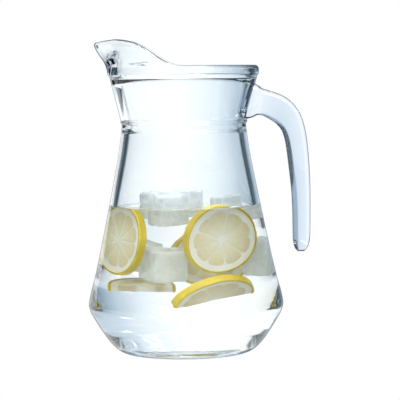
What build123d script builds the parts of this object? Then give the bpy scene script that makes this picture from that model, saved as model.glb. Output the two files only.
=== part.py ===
from build123d import *
import math
import os

os.makedirs("parts", exist_ok=True)

# Millimetres. Origin at the middle of the foot, on the table; +Z up.
# The pouring lip points towards -X and the handle towards +X.

# Driving dimensions of the jug
foot_radius = 39.5
foot_ring_width = 4.0
punt_height = 2.0
shoulder_radius = 66.2
shoulder_height = 32.7
neck_radius = 42.1
neck_height = 155.2
collar_top = 187.8
collar_top_radius = 50.2
bead_radius = 51.2
bead_wall = 5.6
rim_height = 194.5
lip_apex = 212.7
lip_reach = 60.4
nose_radius = 13.0
lip_wall = 3.4
water_level = 100.0
seat_depth = 0.6

# Outer profile of the blown body, as (radius, height)
body_outline = [
    (foot_radius, 0),
    (43.4, 0.7),
    (47.4, 2.9),
    (51.5, 6.9),
    (57.1, 14.6),
    (62.1, 22.6),
    (65.4, 28.9),
    (shoulder_radius, shoulder_height),
    (65.4, 38.1),
    (62.2, 50.3),
    (55.4, 80.9),
    (48.8, 113.6),
    (43.6, 142.1),
    (neck_radius, neck_height),
]

# Inner profile of the blown body: thick base, even wall
cavity_outline = [
    (0, 5.8),
    (28, 5.6),
    (40, 6.9),
    (46.8, 9.8),
    (52.0, 15.0),
    (57.2, 22.8),
    (60.6, 29.2),
    (61.4, 33.2),
    (60.5, 38.3),
    (57.3, 50.3),
    (50.5, 80.9),
    (43.9, 113.6),
    (38.7, 142.1),
    (37.7, 149.4),
]

# Height of the rim's top edge by the angle round the jug, 0 at the handle
lip_heights = [
    (0, rim_height),
    (92, rim_height),
    (96, 194.9),
    (102, 197.2),
    (108, 200.1),
    (113, 202.9),
    (117, 205.4),
    (123, 208.4),
    (131, 210.9),
    (142, 212.3),
    (153, lip_apex),
    (168, 211.7),
    (180, 210.4),
]

# How far the lip's nose stands out from the axis, by height
nose_reaches = [
    (186, bead_radius),
    (190, bead_radius + 0.1),
    (195, 52.5),
    (198, 54.0),
    (203, 57.6),
    (206, 59.2),
    (209, lip_reach),
    (214, lip_reach + 1.2),
]

# Stations of the handle, each an outer and an inner point (x, z),
# its half thickness in Y and the width of the finger-side chamfer
handle_stations = [
    ((43.6, 183.2), (39.2, 157.6), 11.6, 1.0),
    ((50.0, 181.0), (45.6, 158.9), 11.2, 1.0),
    ((53.2, 178.6), (49.6, 160.6), 10.2, 1.2),
    ((58.0, 177.0), (53.6, 160.0), 9.8, 1.6),
    ((66.2, 174.0), (58.4, 157.4), 9.6, 2.1),
    ((73.4, 168.9), (62.6, 154.4), 9.6, 2.5),
    ((78.6, 161.6), (66.2, 150.0), 9.6, 2.8),
    ((81.9, 151.4), (68.4, 143.6), 9.5, 3.0),
    ((83.7, 139.0), (69.8, 134.8), 9.4, 3.1),
    ((84.8, 124.0), (71.2, 122.6), 9.3, 3.1),
    ((85.2, 109.0), (72.6, 109.0), 9.1, 3.1),
    ((85.1, 95.0), (73.2, 95.0), 8.8, 3.1),
    ((84.9, 82.0), (73.3, 82.0), 8.5, 3.1),
    ((84.5, 76.0), (73.4, 76.0), 8.1, 3.0),
    ((83.5, 71.7), (73.9, 71.7), 6.9, 2.6),
    ((82.0, 69.2), (74.9, 69.2), 5.2, 1.9),
    ((80.6, 67.7), (76.6, 67.7), 2.9, 1.0),
]

# Loose ice: centre, size and turn about X, Y and Z in degrees
ice_radius = 2.6
ice_blocks = {
    "ice_cube_1": ((-9.0, -14.5, 97.0), (20, 20, 24), (3, -4, 24)),
    "ice_cube_2": ((-11.5, -8.5, 58.5), (23, 21, 23), (4, 4, 24)),
    "ice_cube_3": ((38.0, 7.2, 61.0), (18, 17, 27), (0, 4, 5)),
    "ice_cube_4": ((-22.0, 20.0, 97.5), (18, 18, 22), (0, 3, 60)),
    "ice_cube_5": ((2.2, 31.0, 97.0), (21, 19, 23), (-3, 0, 6)),
    "ice_cube_6": ((28.6, 15.6, 95.4), (19, 18, 21), (0, -5, 28)),
    "ice_cube_7": ((-24.0, 23.0, 61.0), (22, 20, 22), (6, 4, 30)),
}

# Lemon: centre, radius, lean from lying flat, turn, roll, whether cut in half
slice_thickness = 5.5
peel_thickness = 1.6
pith_thickness = 2.2
heart_radius = 2.0
membrane = 0.9
segment_count = 9
lemon_slices = {
    "lemon_1": ((-34.0, -4.5, 75.0), 24.0, 90, -68, 8, False),
    "lemon_2": ((20.0, -20.0, 77.5), 24.0, 98, 32, 0, False),
    "lemon_3": ((13.5, -8.0, 35.2), 24.0, 141, 28, -7, True),
    "lemon_4": ((-22.0, 9.0, 39.0), 17.0, 12, -6, 0, True),
    "lemon_5": ((11.5, 15.5, 60.0), 20.5, 90, 16, 0, False),
}
chip_place = (38.8, 22.0, 60.3)
chip_size = (6.6, 3.8, 5.6)


def between(table, value):
    """Smooth reading of a short table of (position, size) pairs."""
    if value <= table[0][0]:
        return table[0][1]
    for (a, low), (b, high) in zip(table, table[1:]):
        if value <= b:
            share = (value - a) / (b - a)
            return low + (high - low) * share
    return table[-1][1]


def egg_radius(circle, reach, nose, angle):
    """Polar radius of a circle drawn out into a rounded nose, angle from the nose."""
    centre = reach - nose
    if centre <= circle - nose + 1e-6:
        return circle
    normal = math.acos((circle - nose) / centre)
    tangent = math.atan2(nose * math.sin(normal), centre + nose * math.cos(normal))
    if angle >= normal:
        return circle
    if angle >= tangent:
        return circle / math.cos(normal - angle)
    across = centre * math.sin(angle)
    return centre * math.cos(angle) + math.sqrt(nose**2 - across**2)


def wall_radii(degrees, height):
    """Outer and inner radius of the drawn rim at an angle and a height."""
    turn = min(degrees % 360, 360 - degrees % 360)
    from_nose = math.radians(180 - turn)
    reach = between(nose_reaches, height)
    drawn = max(0.0, min(1.0, (height - rim_height) / 12))
    wall = bead_wall + (lip_wall - bead_wall) * drawn
    circle = bead_radius + 0.6 * drawn
    outer = egg_radius(circle, reach, nose_radius, from_nose)
    inner = egg_radius(circle - wall, reach - wall, nose_radius - wall, from_nose)
    return outer, inner


def rim_section(degrees):
    """Upright slice through the rim, its foot sunk in the collar."""
    turn = min(degrees % 360, 360 - degrees % 360)
    top = between(lip_heights, turn)
    middle_wall = bead_wall + (lip_wall - bead_wall) * min(1.0, (top - rim_height) / 12)
    shoulder = top - middle_wall / 2
    root = 188.7
    levels = [root + (shoulder - root) * step / 4 for step in range(5)]
    outside = [(wall_radii(degrees, z)[0], z) for z in levels]
    inside = [(wall_radii(degrees, z)[1], z) for z in reversed(levels)]
    crown = ((outside[-1][0] + inside[0][0]) / 2, top)
    foot_in, foot_out = (46.7, 186.2), (49.0, 186.2)
    flat = Wire(
        [
            Line(foot_in, foot_out),
            Line(foot_out, outside[0]),
            Spline(*outside),
            ThreePointArc(outside[-1], crown, inside[0]),
            Spline(*inside),
            Line(inside[-1], foot_in),
        ]
    )
    upright = Plane((0, 0, 0), x_dir=(1, 0, 0), z_dir=(0, -1, 0))
    return Rot(0, 0, degrees) * (upright * Face(flat))


def drawn_rim():
    """Rim bead that climbs into the pouring lip, lofted slice by slice."""
    plain = list(range(-24, 96, 12))
    climb = [90, 95, 100, 105, 110, 115, 120, 126, 132, 140]
    nose = [148, 156, 164, 172, 180, 188, 196, 204]
    sections = [rim_section(angle) for angle in plain + climb + nose]
    wrap = loft(sections)
    far_side = Pos(0, 100, 200) * Box(300, 200, 100)
    half = wrap & far_side
    return half + mirror(half, about=Plane.XZ)


def revolved(lines):
    """Solid of revolution about Z from a closed profile in the XZ plane."""
    profile = make_face(Plane.XZ * Wire(lines))
    return revolve(profile, axis=Axis.Z)


def jug_outside():
    """Everything inside the outer face of the base, body, neck ring and collar."""
    ring_in = foot_radius - foot_ring_width
    return revolved(
        [
            Line((0, collar_top), (0, punt_height)),
            ThreePointArc((0, punt_height), (ring_in * 0.6, 1.3), (ring_in, 0)),
            Line((ring_in, 0), (foot_radius, 0)),
            Spline(*body_outline, tangents=[(1, 0.02), (-0.06, 1)]),
            ThreePointArc((neck_radius, neck_height), (43.0, 156.5), (42.8, 157.8)),
            Line((42.8, 157.8), (collar_top_radius, collar_top)),
            Line((collar_top_radius, collar_top), (0, collar_top)),
        ]
    )


def cavity(level=collar_top):
    """The hollow: base, body, inner ledge at the neck, and the collar's step."""
    hollow = revolved(
        [
            Line((0, collar_top + 1), (0, 5.8)),
            Spline(*cavity_outline, tangents=[(1, 0), (-0.1, 1)]),
            ThreePointArc((37.7, 149.4), (36.9, 150.8), (36.6, 152.4)),
            Line((36.6, 152.4), (37.2, 157.8)),
            Line((37.2, 157.8), (42.9, 182.6)),
            ThreePointArc((42.9, 182.6), (43.9, 184.9), (45.5, 186.7)),
            Line((45.5, 186.7), (46.0, collar_top + 1)),
            Line((46.0, collar_top + 1), (0, collar_top + 1)),
        ]
    )
    if level < collar_top:
        hollow = hollow & Pos(0, 0, level / 2) * Box(200, 200, level)
    return hollow


def handle_section(outer, inner, half, chamfer):
    """Six-sided bar section: broad rounded outside, chamfered finger side."""
    width = math.dist(outer, inner)
    middle = ((outer[0] + inner[0]) / 2, 0, (outer[1] + inner[1]) / 2)
    across = ((outer[0] - inner[0]) / width, 0, (outer[1] - inner[1]) / width)
    along = (across[2], 0, -across[0])
    u = width / 2
    corners = [
        (-u, -0.62 * half),
        (-u + chamfer, -half),
        (u, -0.88 * half),
        (u, 0.88 * half),
        (-u + chamfer, half),
        (-u, 0.62 * half),
    ]
    outline = make_face(Polyline(*corners, close=True))
    size = min(1.0, width / 12)
    broad = [v for v in outline.vertices() if v.X > 0]
    outline = fillet(broad, 0.44 * half * size)
    crease = [v for v in outline.vertices() if v.X < 0]
    outline = fillet(crease, 0.07 * half * size)
    place = Plane(middle, x_dir=across, z_dir=along)
    return place * outline


def handle():
    """Pressed bar, hot-fused to the collar and free at its rounded lower end."""
    bar = loft([handle_section(*station) for station in handle_stations])
    lift = (collar_top_radius - 42.8) / (collar_top - 157.8)
    low, high = 150.0, 192.0
    seat = revolved(
        [
            Line((0, low), (42.8 - seat_depth + lift * (low - 157.8), low)),
            Line(
                (42.8 - seat_depth + lift * (low - 157.8), low),
                (42.8 - seat_depth + lift * (high - 157.8), high),
            ),
            Line((42.8 - seat_depth + lift * (high - 157.8), high), (0, high)),
            Line((0, high), (0, low)),
        ]
    )
    return bar - seat


def jug_body(fused_handle):
    """Vessel with its drawn rim, recessed where the handle is fused on."""
    shell = jug_outside() - cavity() + drawn_rim()
    return shell - fused_handle


def ice(centre, size, turn):
    """Loose block of ice with melted edges."""
    block = fillet(Box(*size).edges(), ice_radius)
    return Pos(*centre) * Rot(*turn) * block


def segment(radius):
    """One pulp segment lying along +X, with rounded corners."""
    half_angle = math.radians(180 / segment_count)
    tip = heart_radius + 1.5
    reach = radius - peel_thickness - pith_thickness
    side = membrane / 2 / math.sin(half_angle)
    near = (max(tip, side + 0.5), 0)
    spread = half_angle - math.asin(membrane / 2 / reach)
    low = (reach * math.cos(spread), -reach * math.sin(spread))
    high = (reach * math.cos(spread), reach * math.sin(spread))
    face = make_face(
        [Line(near, low), ThreePointArc(low, (reach, 0), high), Line(high, near)]
    )
    rounded = fillet(face.vertices().sort_by(Axis.X)[1:], 1.6)
    return Pos(0, 0, -slice_thickness / 2) * extrude(rounded, slice_thickness)


def lemon(centre, radius, lean, turn, roll, halved):
    """Peel, pith web and pulp segments of one slice, and its whole envelope."""
    disc = Cylinder(radius, slice_thickness)
    disc = fillet(disc.edges().filter_by(GeomType.CIRCLE), 0.9)
    inner = Cylinder(radius - peel_thickness, slice_thickness)
    pulp = [
        Rot(0, 0, 360 / segment_count * (k + 0.5)) * segment(radius)
        for k in range(segment_count)
    ]
    pulp = Compound(children=pulp)
    if halved:
        keep = Pos(0, radius, 0) * Box(4 * radius, 2 * radius, 2 * radius)
        disc, inner, pulp = disc & keep, inner & keep, pulp & keep
    place = Pos(*centre) * Rot(0, roll, 0) * Rot(0, 0, turn) * Rot(lean, 0, 0)
    peel = disc - inner
    web = inner - pulp
    return place * peel, place * web, place * pulp, place * disc


def chip():
    """Small loose piece of peel."""
    block = fillet(Box(*chip_size).edges(), 0.8)
    return Pos(*chip_place) * Rot(12, 20, 25) * block


def build():
    nodes = {}
    nodes["handle"] = handle()
    nodes["jug_body"] = jug_body(nodes["handle"])
    floating = []
    for name, (centre, size, turn) in ice_blocks.items():
        nodes[name] = ice(centre, size, turn)
        floating.append(nodes[name])
    for name, row in lemon_slices.items():
        peel, web, pulp, whole = lemon(*row)
        nodes[name + "_peel"] = peel
        nodes[name + "_pith"] = web
        nodes[name + "_pulp"] = pulp
        floating.append(whole)
    nodes["lemon_chip"] = chip()
    floating.append(nodes["lemon_chip"])
    water = cavity(water_level)
    for piece in floating:
        water = water - piece
    nodes["drink_water"] = water
    return nodes


for name, shape in build().items():
    box = shape.bounding_box()
    print(name, round(shape.volume), [round(v, 1) for v in (*box.min, *box.max)])
    export_step(shape, "parts/" + name + ".step")
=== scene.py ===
# %% [markdown]
# A glass jug of iced lemon water, dressed for the camera. The solids of the frame give
# every size and place, and each piece made here stands in for one of them. The solids
# could be smoothed and kept, but light bends at every facet of a coarse mesh. So glass,
# water and ice are made again from the same measures, as fine and even grids.

import bmesh
import bpy
import math
from mathutils import Matrix, Vector, noise


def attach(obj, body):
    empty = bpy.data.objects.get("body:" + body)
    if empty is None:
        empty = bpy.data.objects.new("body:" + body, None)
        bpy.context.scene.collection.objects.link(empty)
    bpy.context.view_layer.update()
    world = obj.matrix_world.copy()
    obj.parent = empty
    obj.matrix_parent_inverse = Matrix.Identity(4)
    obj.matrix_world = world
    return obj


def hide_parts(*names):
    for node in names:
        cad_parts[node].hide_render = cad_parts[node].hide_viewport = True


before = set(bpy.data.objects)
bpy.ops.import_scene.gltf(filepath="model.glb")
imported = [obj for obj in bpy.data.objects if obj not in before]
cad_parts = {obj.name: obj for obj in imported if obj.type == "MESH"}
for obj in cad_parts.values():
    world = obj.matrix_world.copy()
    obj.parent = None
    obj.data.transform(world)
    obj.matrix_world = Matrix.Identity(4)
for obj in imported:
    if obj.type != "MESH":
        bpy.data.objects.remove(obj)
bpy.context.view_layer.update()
MM = 0.001
print("frame", len(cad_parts), "nodes")

# %% [markdown]
# Colours are written as sRGB hex values, as a painter's chart gives them, and one
# function turns them into the linear values that a shader reads. A material could be
# wired by hand in the node editor. Here one function adds a node with its settings and
# links, so that a whole material reads from top to bottom.


# %% Colour and node helpers
def to_linear(code):
    """Linear colour and full opacity, by the curve of the sRGB standard."""
    channels = [int(code[i : i + 2], 16) / 255 for i in (1, 3, 5)]
    linear = [c / 12.92 if c <= 0.04045 else ((c + 0.055) / 1.055) ** 2.4 for c in channels]
    return (*linear, 1.0)


def add_node(tree, kind, settings=None, stops=(), **sockets):
    """One node, with a ramp's stops. A socket is named, or numbered as _0, and takes a
    value or another node's output."""
    node = tree.nodes.new(kind)
    for key, value in (settings or {}).items():
        setattr(node, key, value)
    if stops:
        line = node.color_ramp.elements
        while len(line) < len(stops):
            line.new(0.5)
        for element, (place, code) in zip(line, stops):
            element.position = place
            element.color = to_linear(code)
    for name, value in sockets.items():
        key = int(name[1:]) if name[0] == "_" else name.replace("_", " ")
        socket = node.inputs[key]
        if isinstance(value, bpy.types.NodeSocket):
            tree.links.new(value, socket)
        else:
            socket.default_value = value
    return node


def new_material(name):
    material = bpy.data.materials.new(name)
    material.use_nodes = True
    material.node_tree.nodes.clear()
    return material, material.node_tree


def finish_material(tree, shader):
    out = tree.nodes.new("ShaderNodeOutputMaterial")
    tree.links.new(shader, out.inputs["Surface"])


def per_metre(count, length):
    """Scale of a pattern that shows so many marks over a length in millimetres."""
    return count / (length * MM)


# %% [markdown]
# A jug's wall is known by its profile. A few measured points give the form, and a smooth
# curve through them gives the glass its even bend. Curve objects could do this, but the
# vessel, its rim and the handle all need their points as numbers, so that water and ice
# can be fitted to them. So the curves are worked out here, in millimetres.


# %% Curve helpers
def hermite(t):
    """Shares of a span's start, slope at the start, end and slope at the end."""
    return 2 * t**3 - 3 * t**2 + 1, t**3 - 2 * t**2 + t, 3 * t**2 - 2 * t**3, t**3 - t**2


def curve_through(points, steps, start, end):
    """Points along a smooth curve through the given ones, with its slope at both ends."""
    spans = [math.dist(a, b) for a, b in zip(points, points[1:])]
    slopes = [start]
    for i in range(1, len(points) - 1):
        before, after = spans[i - 1], spans[i]
        left = [(points[i][k] - points[i - 1][k]) / before for k in range(2)]
        right = [(points[i + 1][k] - points[i][k]) / after for k in range(2)]
        total = before + after
        slopes.append([(left[k] * after + right[k] * before) / total for k in range(2)])
    slopes.append(end)
    curve = [points[0]]
    for i, span in enumerate(spans):
        for step in range(1, steps + 1):
            a, b, c, d = hermite(step / steps)
            curve.append(
                tuple(
                    a * points[i][k]
                    + b * span * slopes[i][k]
                    + c * points[i + 1][k]
                    + d * span * slopes[i + 1][k]
                    for k in range(2)
                )
            )
    return curve


def arc_through(a, b, c, steps):
    """Points on the circle through three points, from a to c."""
    d = 2 * (a[0] * (b[1] - c[1]) + b[0] * (c[1] - a[1]) + c[0] * (a[1] - b[1]))
    sa, sb, sc = (p[0] ** 2 + p[1] ** 2 for p in (a, b, c))
    x = (sa * (b[1] - c[1]) + sb * (c[1] - a[1]) + sc * (a[1] - b[1])) / d
    y = (sa * (c[0] - b[0]) + sb * (a[0] - c[0]) + sc * (b[0] - a[0])) / d
    radius = math.dist((x, y), a)
    turns = [math.atan2(p[1] - y, p[0] - x) for p in (a, b, c)]
    sweep = (turns[2] - turns[0]) % (2 * math.pi)
    if (turns[1] - turns[0]) % (2 * math.pi) > sweep:
        sweep -= 2 * math.pi
    angles = [turns[0] + sweep * k / steps for k in range(steps + 1)]
    return [(x + radius * math.cos(t), y + radius * math.sin(t)) for t in angles]


def straight(start, run, steps=12):
    """Even points along a straight wall, without its start, by its run out and up."""
    shares = range(1, steps + 1)
    return [(start[0] + run[0] * k / steps, start[1] + run[1] * k / steps) for k in shares]


def between(table, value):
    """What a table of pairs gives at a value, in straight lines from pair to pair."""
    if value <= table[0][0]:
        return table[0][1]
    for (a, low), (b, high) in zip(table, table[1:]):
        if value <= b:
            return low + (high - low) * (value - a) / (b - a)
    return table[-1][1]


def smooth_between(table, value, reach):
    """The table's value, averaged over a little to each side."""
    offsets = [reach * k / 4 for k in range(-4, 5)]
    return sum(between(table, value + o) for o in offsets) / len(offsets)


# %% [markdown]
# The rim is a round bead, as fire-polishing leaves it. While the glass is soft, part of
# the rim is drawn out and up into a pouring lip with a thinner wall. It could be sculpted,
# but it follows a rule: seen from above it is a circle with a smaller circle pulled out
# of it, joined by their shared tangents, and its height follows an S-curve round the jug.
# So each column of the rim is worked out from its turn, counted from the handle.

# %% The drawn rim
RIM_ROOT = 188.7
RIM_HEIGHT = 194.5
RIM_STEPS = 14
BEAD_RADIUS = 51.2
BEAD_WALL = 5.6
LIP_WALL = 3.4
DRAWN_OVER = 12
DRAWN_SPREAD = 0.6
NOSE_RADIUS = 13.0
NOSE_TIP_TURN = 176
TOP_SMOOTHING = 4.0
REACH_SMOOTHING = 1.5

# The top of the rim, by the turn in degrees, and the nose's reach, by the height.
LIP_HEIGHTS = [(0, 194.5), (92, 194.5), (96, 194.9), (102, 197.2), (108, 200.1)]
LIP_HEIGHTS += [(113, 202.9), (117, 205.4), (123, 208.4), (131, 210.9), (142, 212.3)]
LIP_HEIGHTS += [(153, 212.7), (168, 211.7), (180, 210.4)]
NOSE_REACHES = [(186, 51.2), (190, 51.3), (195, 52.5), (198, 54.0), (203, 57.6)]
NOSE_REACHES += [(206, 59.2), (209, 60.4), (214, 61.6)]


def egg_radius(circle, reach, nose, angle):
    """Distance from the axis to a circle that a nose circle is drawn out of."""
    centre = reach - nose
    if centre <= circle - nose + 1e-6:
        return circle
    normal = math.acos((circle - nose) / centre)
    tangent = math.atan2(nose * math.sin(normal), centre + nose * math.cos(normal))
    if angle >= normal:
        return circle
    if angle >= tangent:
        return circle / math.cos(normal - angle)
    across = centre * math.sin(angle)
    return centre * math.cos(angle) + math.sqrt(nose**2 - across**2)


def lip_top(turn):
    """Height of the rim, smoothed all round except at the nose's tip."""
    if turn < NOSE_TIP_TURN:
        return smooth_between(LIP_HEIGHTS, turn, TOP_SMOOTHING)
    return between(LIP_HEIGHTS, turn)


def drawn_share(height):
    """0 for the plain bead, 1 where the glass is fully drawn out."""
    return max(0.0, min(1.0, (height - RIM_HEIGHT) / DRAWN_OVER))


def wall_at(height):
    return BEAD_WALL + (LIP_WALL - BEAD_WALL) * drawn_share(height)


def wall_radii(turn, height):
    """Outer and inner radius of the rim at a turn and a height."""
    from_nose = math.radians(180 - turn)
    reach = smooth_between(NOSE_REACHES, height, REACH_SMOOTHING)
    wall = wall_at(height)
    circle = BEAD_RADIUS + DRAWN_SPREAD * drawn_share(height)
    outer = egg_radius(circle, reach, NOSE_RADIUS, from_nose)
    inner = egg_radius(circle - wall, reach - wall, NOSE_RADIUS - wall, from_nose)
    return outer, inner


def rim_profile(turn):
    """Radius and height pairs up the outside of the rim, over its top and down inside."""
    top = lip_top(turn)
    shoulder = top - wall_at(top) / 2
    levels = [RIM_ROOT + (shoulder - RIM_ROOT) * k / RIM_STEPS for k in range(RIM_STEPS + 1)]
    outside = [(wall_radii(turn, z)[0], z) for z in levels]
    inside = [(wall_radii(turn, z)[1], z) for z in reversed(levels)]
    crown = ((outside[-1][0] + inside[0][0]) / 2, top)
    over = arc_through(outside[-1], crown, inside[0], RIM_STEPS)
    return outside + over[1:-1] + inside


# %% [markdown]
# The vessel is blown into a mould: a flat ring to stand on round a shallow hollow, a low
# shoulder, a tapered body, a ring at the neck and a flared collar. A Screw modifier on a
# curve would turn it, but the lip isn't round. So the vessel is one grid of columns, each
# from the middle of the foot up the outside, over the rim and down to the middle of the
# floor. A ring of the grid lies at the water line, where wet glass and dry glass part.

# %% Vessel profile
WATER_LEVEL = 100.0
NEAR_SHARE = 0.2
# A grid can't close on the axis itself, so its first ring has this radius.
HUB = 0.05
PUNT = [(HUB, 2.0), (21.3, 1.3), (35.5, 0.0)]
FOOT_OUTLINE = [(39.5, 0.0), (43.4, 0.7), (47.4, 2.9), (51.5, 6.9), (57.1, 14.6), (62.1, 22.6)]
FOOT_OUTLINE += [(65.4, 28.9), (66.2, 32.7), (65.4, 38.1), (62.2, 50.3), (55.4, 80.9)]
FOOT_OUTLINE += [(48.8, 113.6), (43.6, 142.1), (42.1, 155.2)]
NECK_RING = [(42.1, 155.2), (43.0, 156.5), (42.8, 157.8)]
COLLAR_RUN = (7.3, 29.6)
OUTSIDE_END = (50.6, 188.0)

CAVITY_OUTLINE = [(0.0, 5.8), (28.0, 5.6), (40.0, 6.9), (46.8, 9.8), (52.0, 15.0)]
CAVITY_OUTLINE += [(57.2, 22.8), (60.6, 29.2), (61.4, 33.2), (60.5, 38.3), (57.3, 50.3)]
CAVITY_OUTLINE += [(50.5, 80.9), (43.9, 113.6), (38.7, 142.1), (37.7, 149.4)]
INNER_LEDGE = [(37.7, 149.4), (36.9, 150.8), (36.6, 152.4)]
THROAT = [(36.8, 154.6), (37.2, 157.8)]
INNER_COLLAR_RUN = (5.7, 24.8)
COLLAR_STEP = [(42.9, 182.6), (43.9, 184.9), (45.5, 186.7)]
INSIDE_END = (45.7, 187.6)


def outside_profile():
    """From the middle of the foot up the outside to just under the rim."""
    punt = arc_through(*PUNT, steps=10)
    body = curve_through(FOOT_OUTLINE, steps=10, start=(1, 0.02), end=(-0.06, 1))
    ring = arc_through(*NECK_RING, steps=8)
    collar = straight(NECK_RING[-1], COLLAR_RUN)
    return punt + body + ring[1:] + collar + [OUTSIDE_END]


def at_water_line(wall):
    """The wall with a point at the water line, in place of the last one below if near."""
    above = next(i for i, point in enumerate(wall) if point[1] > WATER_LEVEL)
    (r0, z0), (r1, z1) = wall[above - 1], wall[above]
    share = (WATER_LEVEL - z0) / (z1 - z0)
    crossing = (r0 + (r1 - r0) * share, WATER_LEVEL)
    kept = above if share > NEAR_SHARE else above - 1
    return wall[:kept] + [crossing] + wall[above:]


def inside_profile():
    """From just under the rim down to the middle of the floor."""
    hollow = curve_through(CAVITY_OUTLINE, steps=10, start=(1, 0), end=(-0.1, 1))
    hollow[0] = (HUB, hollow[0][1])
    ledge = arc_through(*INNER_LEDGE, steps=8)
    collar = straight(THROAT[-1], INNER_COLLAR_RUN)
    step = arc_through(*COLLAR_STEP, steps=6)
    upward = at_water_line(hollow) + ledge[1:] + THROAT + collar + step[1:] + [INSIDE_END]
    return list(reversed(upward))


OUTSIDE = outside_profile()
INSIDE = inside_profile()
print("profile points", len(OUTSIDE), len(INSIDE))

# %% [markdown]
# Vessel, handle, peel, petal and water are all grids of rings, so one helper builds them
# from rows of points. Modifiers such as Screw or Skin make such meshes too, but here the
# place of each point is known, and a closed grid leaves no gap for light to slip through.


# %% Grid helpers
def ring_grid(rows, name, closed=False):
    """A mesh of rows of points, each row a ring. Its ends are capped, or joined if closed."""
    mesh = bpy.data.meshes.new(name)
    width = len(rows[0])
    verts = [Vector(p) * MM for row in rows for p in row]
    faces = []
    for i in range(len(rows) if closed else len(rows) - 1):
        for j in range(width):
            k = (j + 1) % width
            a, b = i * width, (i + 1) % len(rows) * width
            faces.append((a + j, a + k, b + k, b + j))
    for i, flip in () if closed else ((0, True), (len(rows) - 1, False)):
        centre = sum((Vector(p) for p in rows[i]), Vector()) / width * MM
        verts.append(centre)
        hub = len(verts) - 1
        for j in range(width):
            k = (j + 1) % width
            a = i * width
            faces.append((hub, a + k, a + j) if flip else (hub, a + j, a + k))
    mesh.from_pydata(verts, [], faces)
    mesh.validate()
    return mesh


def circle_rows(profile, steps):
    """A profile's radius and height pairs, each carried round the axis."""
    turns = [2 * math.pi * j / steps for j in range(steps)]
    return [[(r * math.cos(t), r * math.sin(t), z) for t in turns] for r, z in profile]


def placed(mesh, name):
    piece = bpy.data.objects.new(name, mesh)
    bpy.context.scene.collection.objects.link(piece)
    return piece


def outward(mesh):
    """Turn every face of a closed mesh to the outside."""
    work = bmesh.new()
    work.from_mesh(mesh)
    bmesh.ops.recalc_face_normals(work, faces=work.faces)
    work.to_mesh(mesh)
    work.free()


def smooth(mesh, angle):
    """Smooth shading, with edges kept sharp where faces meet at more than the angle."""
    mesh.shade_smooth()
    mesh.set_sharp_from_angle(angle=math.radians(angle))


# %% Vessel mesh
VESSEL_STEPS = 256


def vessel_mesh():
    columns = []
    for j in range(VESSEL_STEPS):
        turn = 360 * j / VESSEL_STEPS
        profile = OUTSIDE + rim_profile(min(turn, 360 - turn)) + INSIDE
        c, s = math.cos(math.radians(turn)), math.sin(math.radians(turn))
        columns.append([(r * c, r * s, z) for r, z in profile])
    mesh = ring_grid(list(zip(*columns)), "vessel")
    outward(mesh)
    return mesh


vessel = placed(vessel_mesh(), "jug_glass")
print("vessel faces", len(vessel.data.polygons))

# %% [markdown]
# The handle is a pressed bar: broad and rounded outside, chamfered on the finger side,
# and tapered to a free, rounded tip. A profile swept along a path would keep one size, so
# the bar is carried through stations that each have a width and a chamfer of their own.

# %% Handle stations
# Outer edge, inner edge, half width and chamfer, from the root to the tip.
HANDLE_STATIONS = [
    ((43.6, 183.2), (39.2, 157.6), 11.6, 1.0),
    ((50.0, 181.0), (45.6, 158.9), 11.2, 1.0),
    ((53.2, 178.6), (49.6, 160.6), 10.2, 1.2),
    ((58.0, 177.0), (53.6, 160.0), 9.8, 1.6),
    ((66.2, 174.0), (58.4, 157.4), 9.6, 2.1),
    ((73.4, 168.9), (62.6, 154.4), 9.6, 2.5),
    ((78.6, 161.6), (66.2, 150.0), 9.6, 2.8),
    ((81.9, 151.4), (68.4, 143.6), 9.5, 3.0),
    ((83.7, 139.0), (69.8, 134.8), 9.4, 3.1),
    ((84.8, 124.0), (71.2, 122.6), 9.3, 3.1),
    ((85.2, 109.0), (72.6, 109.0), 9.1, 3.1),
    ((85.1, 95.0), (73.2, 95.0), 8.8, 3.1),
    ((84.9, 82.0), (73.3, 82.0), 8.5, 3.1),
    ((84.5, 76.0), (73.4, 76.0), 8.1, 3.0),
    ((83.5, 71.7), (73.9, 71.7), 6.9, 2.6),
    ((82.0, 69.2), (74.9, 69.2), 5.2, 1.9),
    ((80.6, 67.7), (76.6, 67.7), 2.9, 1.0),
]
STATION_STEPS = 6

# Shares of the bar's half width: its back, its finger side, and their roundings.
BACK = 0.88
FINGER_SIDE = 0.62
BACK_ROUNDING = 0.44
CREASE_ROUNDING = 0.07
# A bar that is narrower than this has smaller roundings.
FULL_WIDTH = 12


# %% Handle mesh
def rounded_corner(before, corner, after, radius, steps):
    """Arc that rounds one corner of a polygon."""
    a = (Vector(before) - Vector(corner)).normalized()
    b = (Vector(after) - Vector(corner)).normalized()
    half = a.angle(b) / 2
    run = radius / math.tan(half)
    centre = Vector(corner) + (a + b).normalized() * radius / math.sin(half)
    first, last = Vector(corner) + a * run, Vector(corner) + b * run
    middle = centre + (Vector(corner) - centre).normalized() * radius
    return arc_through(tuple(first), tuple(middle), tuple(last), steps)


def bar_outline(width, half, chamfer):
    """Six-sided section of the bar, with the outside of the handle towards +X."""
    u = width / 2
    corners = [
        (-u, -FINGER_SIDE * half),
        (-u + chamfer, -half),
        (u, -BACK * half),
        (u, BACK * half),
        (-u + chamfer, half),
        (-u, FINGER_SIDE * half),
    ]
    size = min(1.0, width / FULL_WIDTH)
    ring = []
    for i, corner in enumerate(corners):
        share, steps = (BACK_ROUNDING, 9) if corner[0] > 0 else (CREASE_ROUNDING, 3)
        neighbours = corners[i - 1], corner, corners[(i + 1) % len(corners)]
        ring += rounded_corner(*neighbours, share * half * size, steps)
    return ring


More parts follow.
